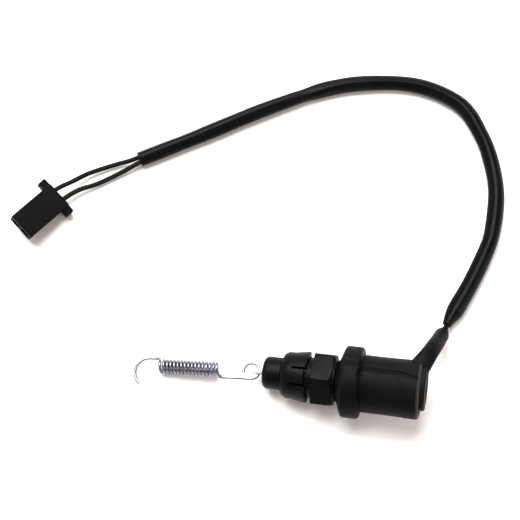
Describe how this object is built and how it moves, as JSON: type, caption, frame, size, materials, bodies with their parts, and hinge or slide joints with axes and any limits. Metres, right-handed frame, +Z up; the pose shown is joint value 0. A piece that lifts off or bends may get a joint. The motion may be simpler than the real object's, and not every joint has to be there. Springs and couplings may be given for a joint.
{
  "type": "pull brake light switch",
  "caption": "Pull-operated brake light switch with threaded plastic barrel, snap-in adjuster nut, pull spring, rubber boot and short two-wire lead with connector.",
  "frame": {"origin": "on the surface the switch lies on, under the middle of the switch and its pull spring", "axes": "+X along the table from the spring's side to the boot's side, in the upright plane of the switch's axis; +Z up from the surface; the switch's nose is 11.3 degrees lower than its rear; the lead lies on the +Y side"},
  "size_m": [0.1888, 0.1429, 0.028],
  "materials": {
    "black_plastic": "satin moulded",
    "black_rubber": "matt moulded",
    "sleeve_pvc": "glossy",
    "wire_insulation": "satin",
    "connector_plastic": "matt moulded",
    "white_acetal": "satin",
    "zinc_steel": "bright zinc plated",
    "spring_steel": "plain",
    "brass": "stamped",
    "phenolic": "moulded"
  },
  "bodies": {
    "switch": {"switch_housing": "black_plastic", "plunger_seal": "black_rubber", "return_spring": "spring_steel", "terminal_base": "phenolic", "terminal_blade_upper": "brass", "terminal_blade_lower": "brass", "rubber_boot": "black_rubber", "boot_end_cap": "black_rubber", "cable_tail": "black_rubber", "inner_wire_upper": "wire_insulation", "inner_wire_lower": "wire_insulation", "pvc_sleeve": "sleeve_pvc", "lead_wire_a": "wire_insulation", "lead_wire_b": "wire_insulation", "connector_housing": "connector_plastic", "connector_terminal_a": "brass", "connector_terminal_b": "brass"},
    "plunger": {"plunger_rod": "white_acetal", "spring_seat": "spring_steel", "contact_carrier": "phenolic", "contact_ring": "brass"},
    "nut_slide": {"nut_thread": "black_plastic"},
    "nut": {"adjuster_nut": "black_plastic"},
    "pull_spring": {"spring_near_loop": "zinc_steel", "spring_coil": "zinc_steel"},
    "spring_hook": {"spring_far_hook": "zinc_steel"}
  },
  "joints": [
    {"name": "plunger_pull", "type": "slide", "parent": "switch", "child": "plunger", "axis": [-0.9806, 0, -0.1959], "range_m": [0, 0.006], "stiffness_N_per_m": 350, "springref_m": -0.002, "deforming": ["return_spring"]},
    {"name": "nut_travel", "type": "slide", "parent": "switch", "child": "nut_slide", "axis": [0.9806, 0, 0.1959], "range_m": [-0.0055, 0.00018]},
    {"name": "nut_turn", "type": "hinge", "parent": "nut_slide", "child": "nut", "pos_m": [0.01301, 0, 0.01031], "axis": [0.9806, 0, 0.1959], "range_deg": [-1310, 40]},
    {"name": "spring_swing", "type": "hinge", "parent": "plunger", "child": "pull_spring", "pos_m": [-0.00748, 0, 0.00622], "axis": [0, 1, 0], "range_deg": [-60, 90]},
    {"name": "spring_stretch", "type": "slide", "parent": "pull_spring", "child": "spring_hook", "axis": [-0.9919, -0.0903, -0.0894], "range_m": [0, 0.012], "stiffness_N_per_m": 1500, "deforming": ["spring_coil"]}
  ],
  "couplings": [
    {"joint": "nut_travel", "follows": "nut_turn", "m_per_rad": 0.00023873}
  ]
}
